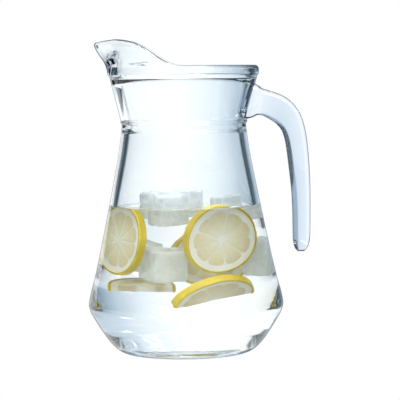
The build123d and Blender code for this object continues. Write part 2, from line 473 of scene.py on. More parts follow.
def bar_rows():
    """The stations as rows of numbers, with even steps between them on a smooth path."""
    rows = [(*outer, *inner, half, chamfer) for outer, inner, half, chamfer in HANDLE_STATIONS]
    last = len(rows) - 1
    path = []
    for i in range(last):
        nearby = rows[max(0, i - 1)], rows[i], rows[i + 1], rows[min(last, i + 2)]
        for step in range(STATION_STEPS):
            a, b, c, d = hermite(step / STATION_STEPS)
            path.append(
                [
                    a * p1 + b * ((p2 - p0) / 2) + c * p2 + d * ((p3 - p1) / 2)
                    for p0, p1, p2, p3 in zip(*nearby)
                ]
            )
    return path + [rows[last]]


def handle_mesh():
    rings = []
    for outer_x, outer_z, inner_x, inner_z, half, chamfer in bar_rows():
        outer, inner = Vector((outer_x, 0, outer_z)), Vector((inner_x, 0, inner_z))
        across = (outer - inner).normalized()
        middle = (outer + inner) / 2
        outline = bar_outline((outer - inner).length, half, chamfer)
        rings.append([middle + across * u + Vector((0, v, 0)) for u, v in outline])
    mesh = ring_grid(rings, "handle")
    outward(mesh)
    return mesh


handle = placed(handle_mesh(), "handle_glass")
print("handle faces", len(handle.data.polygons))

# %% [markdown]
# The handle is sealed to the collar while both are hot, so the two are one skin of glass.
# Two meshes pushed into each other would show walls inside the seal. So a union makes the
# one skin, and the skin is then parted again, by a mark on its faces, into a vessel and a
# handle that are each open where they join.


# %% Fuse the handle to the vessel, then part the skin again
def with_slots(piece, materials):
    piece.data.materials.clear()
    for material in materials:
        piece.data.materials.append(material)


def keep_faces(mesh, mark, name):
    """A copy of the mesh with only the faces that carry the mark."""
    copy = mesh.copy()
    copy.name = name
    work = bmesh.new()
    work.from_mesh(copy)
    doomed = [f for f in work.faces if f.material_index != mark]
    bmesh.ops.delete(work, geom=doomed, context="FACES")
    work.to_mesh(copy)
    work.free()
    return copy


def fuse():
    marks = [bpy.data.materials.new("mark_" + str(k)) for k in range(2)]
    with_slots(vessel, marks)
    with_slots(handle, marks)
    for polygon in handle.data.polygons:
        polygon.material_index = 1
    join = vessel.modifiers.new("seal", "BOOLEAN")
    join.operation = "UNION"
    join.solver = "EXACT"
    join.object = handle
    graph = bpy.context.evaluated_depsgraph_get()
    sealed = bpy.data.meshes.new_from_object(vessel.evaluated_get(graph))
    vessel.modifiers.remove(join)
    vessel.data = keep_faces(sealed, 0, "jug_glass")
    handle.data = keep_faces(sealed, 1, "handle_glass")


fuse()
print("sealed", len(vessel.data.polygons), len(handle.data.polygons))

# %% [markdown]
# Soda-lime tableware glass is clear, with no roughness after fire-polishing. It bends
# light by 1.52, and water by 1.333. Where water wets the wall, light bends only by the
# ratio of the two, so the wall's dark line vanishes below the water line. A volume of
# water let into the glass could show that, but two walls in one place confuse the
# renderer. So the wetted wall has a material with the ratio as its index. A real wall
# looks slate grey where it is seen edge on. Here that dark edge is painted shade: Layer
# Weight mixes slate into the glass colour where it turns away, from its first stop to its second.

# %% Glass materials
GLASS_INDEX = 1.52
WATER_INDEX = 1.333
CLEAR = "#FBFDFE"
PRESSED = "#F1F5F9"
WATER_CLEAR = "#FDFEFE"
# Colour of the painted shade that darkens the glass where it is seen edge on.
PAINTED_EDGE_SHADE = "#6F808D"


def clear_material(name, index, tint, edge=None):
    """Smooth glass. Edge: where the painted edge shade starts and is full, 0 facing, 1 grazing.
    """
    material, tree = new_material(name)
    colour = to_linear(tint)
    if edge:
        # Painted shade: slate is mixed into the glass colour where the surface turns away.
        painted_shade_share = add_node(tree, "ShaderNodeLayerWeight", Blend=0.5).outputs["Facing"]
        stops = list(zip(edge, (tint, PAINTED_EDGE_SHADE)))
        colour = add_node(tree, "ShaderNodeValToRGB", stops=stops, Fac=painted_shade_share).outputs[0]
    glass = add_node(tree, "ShaderNodeBsdfGlass", Color=colour, Roughness=0.0, IOR=index)
    finish_material(tree, glass.outputs[0])
    return material


# Blown wall: clear, with a thin line of painted shade only where it turns away.
jug_glass = clear_material("soda_lime_glass_fire_polished", GLASS_INDEX, CLEAR, (0.84, 0.96))
# Pressed bar: thick, so it is a little grey, and painted shade darkens its sides early.
bar_glass = clear_material("soda_lime_glass_pressed", GLASS_INDEX, PRESSED, (0.36, 0.74))
# Rim bead and foot: tight curves, whose lines of painted shade draw the jug's top and bottom.
rim_glass = clear_material("soda_lime_glass_rim", GLASS_INDEX, CLEAR, (0.55, 0.86))
# Inner wall under water: it hardly bends light, so the eye looks straight through.
wet_glass = clear_material("soda_lime_glass_wetted", GLASS_INDEX / WATER_INDEX, WATER_CLEAR)
# Top of the water: a still mirror at a low angle, clear from above.
water_top = clear_material("water_surface", WATER_INDEX, WATER_CLEAR)
print("index of wetted glass", round(GLASS_INDEX / WATER_INDEX, 3))

# %% [markdown]
# Each face of the vessel gets the glass that its place calls for. Separate meshes could
# carry the three, but a seam between them would catch the light. So the skin stays whole,
# and its faces choose a slot by where they are and which way they look.

# %% Dress the vessel and the handle
FLOOR_FROM = 5.5
FLOOR_TO = 20
BEAD_FROM = 190
FOOT_TO = 4


def dress_vessel():
    """Slot 1 is for the wall that water wets, 2 for rim and foot, 0 for the rest."""
    with_slots(vessel, [jug_glass, wet_glass, rim_glass])
    wet = 0
    for polygon in vessel.data.polygons:
        x, y, z = (c / MM for c in polygon.center)
        faces_axis = polygon.normal.x * x + polygon.normal.y * y < 0
        faces_up = polygon.normal.z > 0.5 and z < FLOOR_TO
        under_water = FLOOR_FROM < z < WATER_LEVEL and (faces_axis or faces_up)
        # Rim and foot take the glass whose painted edge shade starts earlier.
        tight_curve = z > BEAD_FROM or z < FOOT_TO
        polygon.material_index = 1 if under_water else 2 if tight_curve else 0
        wet += under_water
    smooth(vessel.data, angle=32)
    print("wet faces", wet)


def dress_handle():
    with_slots(handle, [bar_glass])
    for polygon in handle.data.polygons:
        polygon.material_index = 0
    smooth(handle.data, angle=40)


dress_vessel()
dress_handle()
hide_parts("jug_body")
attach(vessel, "jug")
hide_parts("handle")
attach(handle, "jug")

# %% [markdown]
# Ice from a tray has edges that have already melted round and faces that are a little
# hollow. A cube with a Bevel modifier would stay a hard die. So each block is a dense
# cube, pulled to its size, its corners rounded by hand and its faces let in by noise, and
# cut in two at the water line, because ice shows differently in air and in water.

# %% Ice shape
# Centre, size and turn of each block, in millimetres and degrees, as the solids have them.
ICE_BLOCKS = {
    "ice_cube_1": ((-9.0, -14.5, 97.0), (20, 20, 24), (3, -4, 24)),
    "ice_cube_2": ((-11.5, -8.5, 58.5), (23, 21, 23), (4, 4, 24)),
    "ice_cube_3": ((38.0, 7.2, 61.0), (18, 17, 27), (0, 4, 5)),
    "ice_cube_4": ((-22.0, 20.0, 97.5), (18, 18, 22), (0, 3, 60)),
    "ice_cube_5": ((2.2, 31.0, 97.0), (21, 19, 23), (-3, 0, 6)),
    "ice_cube_6": ((28.6, 15.6, 95.4), (19, 18, 21), (0, -5, 28)),
    "ice_cube_7": ((-24.0, 23.0, 61.0), (22, 20, 22), (6, 4, 30)),
}
ICE_CUTS = 31
# Depths in millimetres, then scales of the noise per millimetre.
ICE_SKIN = 0.2
ICE_CORNER = 2.0
MELTED = 0.9
HOLLOWS = 1.2
BROAD = 0.11
FINE = 0.5
FINE_SHARE = 0.3
# Each block's place moves it to a part of the noise of its own.
SEED_SHIFT = 0.37


def turned(angles):
    """Turn about X, then Y, then Z, in degrees, as the solids are turned."""
    matrix = Matrix.Identity(3)
    for angle, axis in zip(angles, "XYZ"):
        matrix = matrix @ Matrix.Rotation(math.radians(angle), 3, axis)
    return matrix


def ice_mesh(name, shape, skin=ICE_SKIN, corner=ICE_CORNER, parted=True):
    """Rounded block with soft hollows, its skin inside the solid, parted at the water line."""
    centre, size, turn = shape
    work = bmesh.new()
    bmesh.ops.create_cube(work, size=2)
    bmesh.ops.subdivide_edges(work, edges=work.edges, cuts=ICE_CUTS, use_grid_fill=True)
    half = Vector(size) / 2 - Vector((skin,) * 3)
    seed = Vector(centre) * SEED_SHIFT
    spin = turned(turn)
    for vert in work.verts:
        p = Vector((vert.co.x * half.x, vert.co.y * half.y, vert.co.z * half.z))
        core = Vector([max(-h + corner, min(h - corner, c)) for c, h in zip(p, half)])
        out = p - core
        if out.length > 1e-6:
            p = core + out.normalized() * corner
        dip = noise.noise((p + seed) * BROAD) + FINE_SHARE * noise.noise((p + seed) * FINE)
        p -= p.normalized() * (MELTED + HOLLOWS * dip)
        vert.co = (spin @ p + Vector(centre)) * MM
    if parted:
        everything = work.verts[:] + work.edges[:] + work.faces[:]
        line = Vector((0, 0, WATER_LEVEL * MM))
        bmesh.ops.bisect_plane(work, geom=everything, plane_co=line, plane_no=(0, 0, 1))
    mesh = bpy.data.meshes.new(name)
    work.to_mesh(mesh)
    work.free()
    return mesh


# %% [markdown]
# Tray ice is clear at its skin and milky at its heart, where air was trapped last. A
# scattering volume would show that, but it renders slowly. So glass is mixed with a milky
# surface, about half of it lit from behind, by wisps of noise. In air ice bends light by
# 1.31. Under water it hardly bends it at all, and shows as a soft grey cloud.

# %% Ice materials
ICE_INDEX = 1.31
WISPS = per_metre(3, 40)
ICE_CLEAR = "#F8FAFA"


def ice_material(name, index, milk_tone, clear_share):
    """Wisps of clear ice in milky ice, between a lowest and a highest share of clear."""
    material, tree = new_material(name)
    place = add_node(tree, "ShaderNodeTexCoord").outputs["Object"]
    cloud = add_node(tree, "ShaderNodeTexNoise", Vector=place, Scale=WISPS, Detail=3.0)
    low, high = clear_share
    wisps = add_node(
        tree,
        "ShaderNodeMapRange",
        Value=cloud.outputs[0],
        From_Min=0.35,
        From_Max=0.65,
        To_Min=low,
        To_Max=high,
    )
    clear = to_linear(ICE_CLEAR)
    glass = add_node(tree, "ShaderNodeBsdfGlass", Color=clear, Roughness=0.05, IOR=index)
    heart = add_node(tree, "ShaderNodeBsdfTranslucent", Color=to_linear(milk_tone)).outputs[0]
    skin = add_node(tree, "ShaderNodeBsdfDiffuse", Color=to_linear(milk_tone)).outputs[0]
    milk = add_node(tree, "ShaderNodeMixShader", Fac=0.45, _1=heart, _2=skin).outputs[0]
    share = wisps.outputs[0]
    blend = add_node(tree, "ShaderNodeMixShader", Fac=share, _1=milk, _2=glass.outputs[0])
    finish_material(tree, blend.outputs[0])
    return material


# In air: a bright, glinting block. In water: its outline all but gone, its milk a cloud.
ice_looks = [
    ice_material("ice_above_the_water", ICE_INDEX, "#EDF1F2", (0.15, 0.55)),
    ice_material("ice_below_the_water", ICE_INDEX / WATER_INDEX, "#EEEFE8", (0.1, 0.4)),
]

# %% [markdown]
# Every block carries both looks, and each of its faces takes the one for its side of the
# water line. Two meshes to a block would need walls where they meet, and those would show.

# %% Place the ice
for name, shape in ICE_BLOCKS.items():
    block = placed(ice_mesh(name + "_melted", shape), name + "_melted")
    with_slots(block, ice_looks)
    for polygon in block.data.polygons:
        polygon.material_index = 0 if polygon.center.z / MM > WATER_LEVEL else 1
    smooth(block.data, angle=60)
    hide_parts(name)
    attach(block, name)
print("ice blocks", len(ICE_BLOCKS))

# %% [markdown]
# A slice of lemon is three tissues: waxy, pored peel, dull white pith, and pulp in petals
# that are round at the skin, straight at their sides and swollen with juice. A flat disc
# with a painted pattern would look like a label when it is seen from the side. So each
# tissue is a mesh of its own, made lying flat, and then turned and set down in the water.

# %% Lemon sizes
SLICE_HALF = 2.75
PEEL = 1.6
PITH = 3.0
SEGMENTS = 9

# Centre, radius, then lean, turn and roll in degrees, and whether the slice is a half.
LEMON_SLICES = {
    "lemon_1": ((-34.0, -4.5, 75.0), 24.0, 90, -68, 8, False),
    "lemon_2": ((20.0, -20.0, 77.5), 24.0, 98, 32, 0, False),
    "lemon_3": ((13.5, -8.0, 35.2), 24.0, 141, 28, -7, True),
    "lemon_4": ((-22.0, 9.0, 39.0), 17.0, 12, -6, 0, True),
    "lemon_5": ((11.5, 15.5, 60.0), 20.5, 90, 16, 0, False),
}


def mark_radius(mesh, radius):
    """Each corner's distance from the heart, as a share of the slice's radius."""
    share = mesh.attributes.new("from_heart", "FLOAT", "POINT")
    for vert in mesh.vertices:
        share.data[vert.index].value = math.hypot(vert.co.x, vert.co.y) / MM / radius


# %% [markdown]
# The skin of a lemon bends over at the cut and is dimpled by its oil glands. A bump could
# fake the dimples, but the outline would stay as smooth as plastic. So they are in the
# mesh, and only the finest pores are left to the material.

# %% Peel
PEEL_BEND = 0.9
PEEL_LIP = 0.4
BEND_STEPS = 5
SIDE_STEPS = 8
PEEL_STEPS = 240
# Depths in millimetres, and scales per millimetre.
SKIN_SINK = 0.12
PIT_DEPTH = 0.10
PIT_SCALE = 0.8
DIMPLE_DEPTH = 0.18
DIMPLE_SCALE = 0.3


def pore_depth(point):
    """How far the skin sinks at a point, by small pits on broader dimples."""
    pits = noise.cell(tuple(c * PIT_SCALE for c in point)) * PIT_DEPTH
    dimples = DIMPLE_DEPTH * noise.noise(tuple(c * DIMPLE_SCALE for c in point))
    return max(0.0, SKIN_SINK + (pits + dimples))


def peel_mesh(radius):
    """Ring of peel with a rounded, pored skin."""
    inner, h, bend = radius - PEEL, SLICE_HALF, PEEL_BEND
    corner = [math.radians(90 * k / BEND_STEPS) for k in range(BEND_STEPS + 1)]
    upper = [(radius - bend + bend * math.sin(a), h - bend + bend * math.cos(a)) for a in corner]
    side = [(radius, (h - bend) * (1 - 2 * k / SIDE_STEPS)) for k in range(1, SIDE_STEPS)]
    lower = [(r, -z) for r, z in reversed(upper)]
    profile = [(inner, h), (inner + PEEL_LIP, h)] + upper + side + lower + [(inner, -h)]
    rough = []
    for row in circle_rows(profile, PEEL_STEPS):
        line = []
        for x, y, z in row:
            r = math.hypot(x, y)
            sink = pore_depth((x, y, z)) if r > radius - bend else 0.0
            line.append((x * (r - sink) / r, y * (r - sink) / r, z))
        rough.append(line)
    return ring_grid(rough, "peel", closed=True)


# %% [markdown]
# The pith is a white web between the petals and a ring round them. Cutting the petals'
# places out of a disc would take many faces. A plain disc does as well, because the
# petals stand a hair above it and it shows in the gaps between them.

# %% Pith
PITH_SINK = 0.38
PITH_LAP = 0.05
PITH_RINGS = 20
PITH_STEPS = 128


def pith_mesh(radius):
    """Disc of pith that carries the petals and laps a hair into the peel."""
    edge, h = radius - PEEL + PITH_LAP, SLICE_HALF - PITH_SINK
    rings = [edge * k / PITH_RINGS for k in range(1, PITH_RINGS + 1)]
    profile = [(r, h) for r in rings] + [(edge, -h)] + [(r, -h) for r in reversed(rings[:-1])]
    mesh = ring_grid(circle_rows(profile, PITH_STEPS), "pith")
    mark_radius(mesh, radius)
    return mesh


# %% [markdown]
# A petal of pulp is narrow at the heart and round at the skin, and its cut face swells,
# because the juice sacs press out. One could be sculpted, but it has to fit between its
# neighbours. So its width is worked out from its place along the petal.

# %% One petal of pulp
HEART = 2.6
PETAL_GAP = 0.22
PETAL_TIP = 0.02
PETAL_ROWS = 36
PETAL_COLUMNS = 18
FACE_SINK = 0.36
FACE_SWELL = 0.28
# How fast the swelling fades towards the skin, and what is left of it there.
FADE_RATE = 6
FADE_LEFT = 0.05
# Juice sacs are long towards the heart and narrow across, so their noise is too.
SAC_RELIEF = 0.1
SACS_ALONG = 0.3
SACS_ACROSS = 1.6


def petal_half_width(r, reach):
    """Half the petal's width at r: its straight side or its round end, softly joined."""
    bow = 0.5 * reach
    side = max(PETAL_TIP, r * math.tan(math.radians(180 / SEGMENTS)) - PETAL_GAP)
    end = math.sqrt(max(0.0, (reach - bow) ** 2 - max(0.0, r - bow) ** 2)) + PETAL_TIP
    return (side**-5 + end**-5) ** -0.2


def petal_mesh(radius):
    """One pulp petal along +X: straight sides, a round outer end, a bulging face."""
    reach = radius - PEEL - PITH
    rows = []
    for i in range(PETAL_ROWS + 1):
        r = HEART + (reach - HEART) * math.sin(math.pi / 2 * i / PETAL_ROWS)
        half = petal_half_width(r, reach)
        top = []
        for j in range(PETAL_COLUMNS + 1):
            u = -math.cos(math.pi * j / PETAL_COLUMNS)
            y = u * half
            sacs = noise.noise((r * SACS_ALONG, y * SACS_ACROSS, radius)) * SAC_RELIEF
            fade = min(1.0, FADE_RATE * (reach - r) / reach + FADE_LEFT)
            swell = (1 - u**4) * fade
            top.append((r, y, SLICE_HALF - FACE_SINK + (FACE_SWELL + sacs) * swell))
        bottom = [(x, y, -z) for x, y, z in reversed(top)]
        rows.append(top + bottom)
    mesh = ring_grid(rows, "petal")
    mark_radius(mesh, radius)
    return mesh


# %% [markdown]
# The petals stand round the heart at even turns, no two quite alike. A loop in Python
# could copy them, but the rule is plain to read as nodes: points by their number, a turn
# for each, a little sway and a little shrinking by a fixed seed. So Geometry Nodes set
# them, and make them real at the end, because the export drops instances.

# %% Geometry Nodes: petals round the heart
SWAY = 0.035
SMALLEST_PETAL = 0.94
FIRST_SEED = 3
FAN_INPUTS = {
    "Petal": "Geometry",
    "Petals": "Int",
    "Sway": "Float",
    "Seed": "Int",
    "Pulp": "Material",
}


def fan_tree():
    tree = bpy.data.node_groups.new("petals_round_the_heart", "GeometryNodeTree")
    for label, kind in FAN_INPUTS.items():
        tree.interface.new_socket(label, in_out="INPUT", socket_type="NodeSocket" + kind)
    tree.interface.new_socket("Fan", in_out="OUTPUT", socket_type="NodeSocketGeometry")
    given = tree.nodes.new("NodeGroupInput").outputs
    petals, sway, seed = given["Petals"], given["Sway"], given["Seed"]
    add, multiply, divide = ({"operation": word} for word in ("ADD", "MULTIPLY", "DIVIDE"))
    points = add_node(tree, "GeometryNodePoints", Count=petals)
    index = add_node(tree, "GeometryNodeInputIndex").outputs[0]
    step = add_node(tree, "ShaderNodeMath", divide, _0=2 * math.pi, _1=petals).outputs[0]
    middle = add_node(tree, "ShaderNodeMath", add, _0=index, _1=0.5).outputs[0]
    turn = add_node(tree, "ShaderNodeMath", multiply, _0=middle, _1=step).outputs[0]
    back = add_node(tree, "ShaderNodeMath", multiply, _0=sway, _1=-1.0).outputs[0]
    # Of a random value, sockets 2 and 3 and output 1 are those of a plain number.
    plain = {"data_type": "FLOAT"}
    lean = add_node(tree, "FunctionNodeRandomValue", plain, _2=back, _3=sway, Seed=seed)
    tilt = add_node(tree, "ShaderNodeMath", add, _0=turn, _1=lean.outputs[1]).outputs[0]
    euler = add_node(tree, "ShaderNodeCombineXYZ", Z=tilt).outputs[0]
    shrink = add_node(
        tree, "FunctionNodeRandomValue", plain, _2=SMALLEST_PETAL, _3=1.0, Seed=seed
    ).outputs[1]
    size = add_node(tree, "ShaderNodeCombineXYZ", X=shrink, Y=shrink, Z=1.0).outputs[0]
    fan = add_node(
        tree,
        "GeometryNodeInstanceOnPoints",
        Points=points.outputs[0],
        Instance=given["Petal"],
        Rotation=euler,
        Scale=size,
    ).outputs[0]
    real = add_node(tree, "GeometryNodeRealizeInstances", Geometry=fan).outputs[0]
    dressed = add_node(tree, "GeometryNodeSetMaterial", Geometry=real, Material=given["Pulp"])
    out = tree.nodes.new("NodeGroupOutput")
    tree.links.new(dressed.outputs[0], out.inputs["Fan"])
    return tree


# %% [markdown]
# Wet pith and pulp are cut plant tissue: dull on top, and aglow when light comes from
# behind. Their tone changes from the heart to the skin, which a texture painted on could
# give. Here each mesh already carries its distance from the heart, so a ramp reads that,
# and fine flecks of noise break it up. The peel is oily wax over pores, so it alone has
# gloss, with a bump for pores that are finer than its mesh.

# %% Lemon materials
FLECKS = per_metre(42, 100)
BLOTCHES = per_metre(6, 50)
PORES = per_metre(9, 10)
PORE_RELIEF = 0.3 * MM
PEEL_TONES = [(0.3, "#BFA510"), (0.7, "#D0B716")]
PITH_TONES = [(0.0, "#FFFFF6"), (0.35, "#FBF9E6"), (0.7, "#FBF9E6")]
PITH_TONES += [(0.8, "#FFFFF8"), (0.93, "#FBF8DE")]
PULP_TONES = [(0.05, "#FFFCEA"), (0.35, "#FAF4DA"), (0.65, "#F3EAC8"), (0.85, "#EEE2B8")]


def flesh(name, tones, sheer, grain):
    """Wet plant tissue: toned from heart to skin, flecked by grain, and lit through."""
    material, tree = new_material(name)
    place = add_node(tree, "ShaderNodeTexCoord").outputs["Object"]
    share = add_node(tree, "ShaderNodeAttribute", {"attribute_name": "from_heart"}).outputs["Fac"]
    speck = add_node(tree, "ShaderNodeTexNoise", Vector=place, Scale=FLECKS, Detail=3.0)
    shift = add_node(
        tree,
        "ShaderNodeMapRange",
        Value=speck.outputs[0],
        From_Min=0.3,
        From_Max=0.7,
        To_Min=-grain,
        To_Max=grain,
    ).outputs[0]
    mixed = add_node(tree, "ShaderNodeMath", {"operation": "ADD"}, _0=share, _1=shift).outputs[0]
    tone = add_node(tree, "ShaderNodeValToRGB", stops=tones, Fac=mixed).outputs[0]
    skin = add_node(tree, "ShaderNodeBsdfDiffuse", Color=tone).outputs[0]
    glow = add_node(tree, "ShaderNodeBsdfTranslucent", Color=tone).outputs[0]
    both = add_node(tree, "ShaderNodeMixShader", Fac=sheer, _1=skin, _2=glow)
    finish_material(tree, both.outputs[0])
    return material


def peel_material():
    material, tree = new_material("lemon_peel_waxed")
    place = add_node(tree, "ShaderNodeTexCoord").outputs["Object"]
    blotch = add_node(tree, "ShaderNodeTexNoise", Vector=place, Scale=BLOTCHES, Detail=2.0)
    tone = add_node(tree, "ShaderNodeValToRGB", stops=PEEL_TONES, Fac=blotch.outputs[0])
    pores = add_node(tree, "ShaderNodeTexVoronoi", Vector=place, Scale=PORES)
    height = pores.outputs["Distance"]
    bump = add_node(tree, "ShaderNodeBump", Height=height, Strength=0.25, Distance=PORE_RELIEF)
    wax = add_node(
        tree,
        "ShaderNodeBsdfPrincipled",
        Base_Color=tone.outputs[0],
        Roughness=0.35,
        Normal=bump.outputs[0],
    )
    finish_material(tree, wax.outputs[0])
    return material


# Pith: chalky white, a third of its light from behind, almost without flecks.
pith_look = flesh("lemon_pith_wet", PITH_TONES, 0.35, 0.02)
# Pulp: juicy, so half of its light comes through, and the juice sacs fleck it.
pulp_look = flesh("lemon_pulp_wet", PULP_TONES, 0.5, 0.12)
# Peel: a deep yellow with soft highlights, broken up by its pores.
peel_look = peel_material()
print("lemon materials", pith_look.name, pulp_look.name, peel_look.name)

# %% [markdown]
# A slice lies flat while it is made, so that halving it and fanning its petals stay
# simple. It could then be turned as an object, but the export puts every object at the
# origin, and a pattern would slide. So its turn and its place go into its mesh.


# %% Place the slices
def set_down(mesh, row, name, look):
    """Cut a half slice, put the tissue in its place and dress it."""
    centre, radius, lean, turn, roll, halved = row
    work = bmesh.new()
    work.from_mesh(mesh)
    if halved:
        everything = work.verts[:] + work.edges[:] + work.faces[:]
        cut = bmesh.ops.bisect_plane(
            work, geom=everything, plane_co=(0, 0, 0), plane_no=(0, -1, 0), clear_outer=True
        )
        edges = [e for e in cut["geom_cut"] if isinstance(e, bmesh.types.BMEdge)]
        bmesh.ops.holes_fill(work, edges=edges)
    spin = turned((0, roll, 0)) @ turned((0, 0, turn)) @ turned((lean, 0, 0))
    place = Matrix.Translation(Vector(centre) * MM) @ spin.to_4x4()
    bmesh.ops.transform(work, matrix=place, verts=work.verts)
    bmesh.ops.recalc_face_normals(work, faces=work.faces)
    final = bpy.data.meshes.new(name)
    work.to_mesh(final)
    work.free()
    piece = placed(final, name)
    with_slots(piece, [look])
    smooth(final, angle=40)
    return piece


def pulp_fan(radius, tree, seed):
    """The petals of one slice, as a plain mesh."""
    carrier = placed(petal_mesh(radius), "petal_carrier")
    nodes = carrier.modifiers.new("fan", "NODES")
    nodes.node_group = tree
    sockets = {s.name: s.identifier for s in tree.interface.items_tree if s.in_out == "INPUT"}
    settings = {"Petals": SEGMENTS, "Sway": SWAY, "Seed": seed, "Pulp": pulp_look}
    for label, value in settings.items():
        nodes[sockets[label]] = value
    graph = bpy.context.evaluated_depsgraph_get()
    mesh = bpy.data.meshes.new_from_object(carrier.evaluated_get(graph))
    bpy.data.objects.remove(carrier)
    return mesh


fans = fan_tree()
for number, (name, row) in enumerate(LEMON_SLICES.items()):
    radius = row[1]
    tissues = {
        "peel": (peel_mesh(radius), peel_look),
        "pith": (pith_mesh(radius), pith_look),
        "pulp": (pulp_fan(radius, fans, number + FIRST_SEED), pulp_look),
    }
    for tissue, (mesh, look) in tissues.items():
        piece = set_down(mesh, row, name + "_" + tissue + "_fresh", look)
        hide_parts(name + "_" + tissue)
        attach(piece, name)
with_slots(bpy.data.objects["lemon_chip"], [peel_look])
print("lemon slices", len(LEMON_SLICES))

# %% [markdown]
# The water fills the cavity to its line and curls up a little at the glass. It could be
# one plain block of water glass, but only its top bends light by itself: its sides lie
# against wet glass that already has the right ratio. So they are fully clear and stand a
# hair inside the wall. A block that breaks the surface would be crossed by the water's
# top, so it gets a pocket in the water, a hair wider than itself.

# %% Water shape
CLEAR_GAP = 0.06
MENISCUS = 1.1
CURL_STEPS = 9
CURL_REACH = 3
CURL_SPACING = 1.5
SURFACE_RINGS = 12
WATER_STEPS = 192
SHOULDER_LEVEL = 40


def water_mesh():
    """The cavity's profile up to the line, the curl at the glass and the level top."""
    wall = list(reversed(INSIDE))
    side = [(max(HUB, r - CLEAR_GAP), z + CLEAR_GAP) for r, z in wall if z < WATER_LEVEL - 0.01]
    tapered = [(z, r) for r, z in wall if z > SHOULDER_LEVEL]
    edge = between(tapered, WATER_LEVEL) - CLEAR_GAP
    curl = []
    for k in range(CURL_STEPS + 1):
        out = MENISCUS * CURL_REACH * (k / CURL_STEPS) ** CURL_SPACING
        rise = MENISCUS * math.exp(-out / MENISCUS) - MENISCUS
        curl.append((edge - out, WATER_LEVEL + rise))
    radius, level = curl[-1]
    inner = [(radius * (1 - k / SURFACE_RINGS), level) for k in range(1, SURFACE_RINGS)]
    mesh = ring_grid(circle_rows(side + curl + inner, WATER_STEPS), "drink_water_surface")
    outward(mesh)
    return mesh


def clear_side():
    """Water against glass: nothing to see, because the wet glass bends for both."""
    material, tree = new_material("water_against_glass")
    finish_material(tree, add_node(tree, "ShaderNodeBsdfTransparent").outputs[0])
    return material


water = placed(water_mesh(), "water_body")
with_slots(water, [water_top, clear_side()])
print("water faces", len(water.data.polygons))

# %% Cut the water's top where ice stands in it
POCKET_SKIN = 0.08
POCKET_CORNER = 2.1


def floats(shape):
    centre, size, turn = shape
    return centre[2] + size[2] / 2 >= WATER_LEVEL


def cut_pockets():
    cutters = []
    for name, shape in ICE_BLOCKS.items():
        if not floats(shape):
            continue
        pocket = ice_mesh(name + "_pocket", shape, POCKET_SKIN, POCKET_CORNER, parted=False)
        cutters.append(placed(pocket, name + "_pocket"))
        cut = water.modifiers.new("cut", "BOOLEAN")
        cut.operation = "DIFFERENCE"
        cut.solver = "EXACT"
        cut.object = cutters[-1]
    graph = bpy.context.evaluated_depsgraph_get()
    mesh = bpy.data.meshes.new_from_object(water.evaluated_get(graph))
    water.modifiers.clear()
    water.data = mesh
    for cutter in cutters:
        bpy.data.objects.remove(cutter)


def dress_water():
    """Slot 0 for the top and its curl, slot 1 for the sides, the floor and the pockets."""
    lowest, highest = WATER_LEVEL - MENISCUS - 0.05, WATER_LEVEL + 0.5
    for polygon in water.data.polygons:
        is_top = lowest < polygon.center.z / MM < highest and polygon.normal.z > 0.2
        polygon.material_index = 0 if is_top else 1
    smooth(water.data, angle=32)


cut_pockets()
dress_water()
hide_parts("drink_water")
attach(water, "jug")
print("water faces with pockets", len(water.data.polygons))

# %% [markdown]
# Glass has no look of its own: it shows its surroundings, bent. A plain white studio would
# leave it without lines. So the world is a studio for glass: dark slate behind and at the
# sides, which draws the edges, pale towards the camera, and light from above and below.
# The camera itself sees plain white.

# %% Studio
WHITE = to_linear("#FFFFFF")
STUDIO_GLOW = 1.3
# From the camera's side to the far side, and from straight below to straight above.
FRONT_TO_BACK = [(0.0, "#FFFFFF"), (0.18, "#EEF2F5"), (0.34, "#5A6975")]
FRONT_TO_BACK += [(0.5, "#25323D"), (1.0, "#33414D")]
FLOOR_TO_CEILING = [(0.0, "#FFFFFF"), (0.3, "#9AA7B2"), (0.45, "#000000")]
FLOOR_TO_CEILING += [(0.58, "#000000"), (0.75, "#E8EEF2")]

world = bpy.data.worlds.new("studio")
bpy.context.scene.world = world
world.use_nodes = True
sky = world.node_tree
sky.nodes.clear()
aim = add_node(sky, "ShaderNodeTexCoord").outputs["Generated"]
axes = add_node(sky, "ShaderNodeSeparateXYZ", Vector=aim).outputs
tones = []
for axis, stops in (("Y", FRONT_TO_BACK), ("Z", FLOOR_TO_CEILING)):
    share = add_node(sky, "ShaderNodeMapRange", Value=axes[axis], From_Min=-1.0).outputs[0]
    tones.append(add_node(sky, "ShaderNodeValToRGB", stops=stops, Fac=share).outputs[0])
# Of a colour mix, sockets 6 and 7 and output 2 are those of the colours.
screen = {"data_type": "RGBA", "blend_type": "SCREEN"}
seen = add_node(sky, "ShaderNodeMix", screen, _0=1.0, _6=tones[0], _7=tones[1]).outputs[2]
studio = add_node(sky, "ShaderNodeBackground", Color=seen, Strength=STUDIO_GLOW).outputs[0]
white = add_node(sky, "ShaderNodeBackground", Color=WHITE, Strength=1.0).outputs[0]
camera_ray = add_node(sky, "ShaderNodeLightPath").outputs["Is Camera Ray"]
chosen = add_node(sky, "ShaderNodeMixShader", Fac=camera_ray, _1=studio, _2=white)
add_node(sky, "ShaderNodeOutputWorld", Surface=chosen.outputs[0])
print("studio nodes", len(sky.nodes))

# %% [markdown]
# Photographers of glass put a lit card straight behind it, which fills the glass with
# light, and black flags beside the card, which draw its edges dark. Here the card turns
# from white to blue-grey towards the right. Its flags stand wide apart near the floor, so
# that the curves of the foot stay bright, and close together higher up. Lamps could light
# a card, but a card that glows gives just the tone that it is told to.


